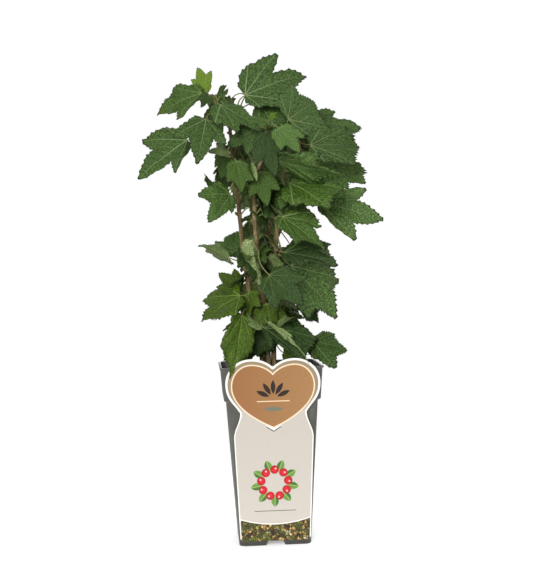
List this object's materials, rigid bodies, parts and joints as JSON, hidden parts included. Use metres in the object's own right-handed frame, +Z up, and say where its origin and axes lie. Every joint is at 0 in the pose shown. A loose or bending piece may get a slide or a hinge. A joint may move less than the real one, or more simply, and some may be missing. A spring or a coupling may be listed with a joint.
{
  "type": "potted redcurrant bush",
  "caption": "Young redcurrant bush with upright stems and lobed, toothed leaves, in a tall square nursery pot with a heart-topped label card hung on its rim.",
  "frame": {"origin": "middle of the pot's flat underside, on the surface it stands on", "axes": "+Z up, -Y out of the side that carries the label card, +X to the right when that side is faced"},
  "size_m": [0.2644, 0.1846, 0.5431],
  "materials": {
    "pot": "dark grey moulded plastic, faintly glossy",
    "soil": "dark brown crumbly compost",
    "card": "off-white printed card with a tan heart",
    "bark": "thin grey-brown bark, peeling in fine strips",
    "leaf": "matt mid-green leaf, paler below"
  },
  "bodies": {
    "root": {"pot": "pot", "soil": "soil", "label_card": "card", "trunk_foot": "bark", "stem_left": "bark", "stem_middle": "bark", "stem_right": "bark", "stem_back": "bark", "leaves_top_left": "leaf", "leaves_left": "leaf", "leaves_middle_left": "leaf", "leaves_lower_left": "leaf", "leaves_low_left": "leaf", "leaves_top": "leaf", "leaves_front": "leaf", "leaves_middle": "leaf", "leaves_centre": "leaf", "leaves_upper_right": "leaf", "leaves_right": "leaf", "leaves_middle_right": "leaf", "leaves_low_right": "leaf", "leaves_back_top": "leaf", "leaves_back_middle": "leaf", "leaves_back_low": "leaf", "leaves_back_left": "leaf", "leaves_back_right": "leaf"}
  },
  "joints": []
}
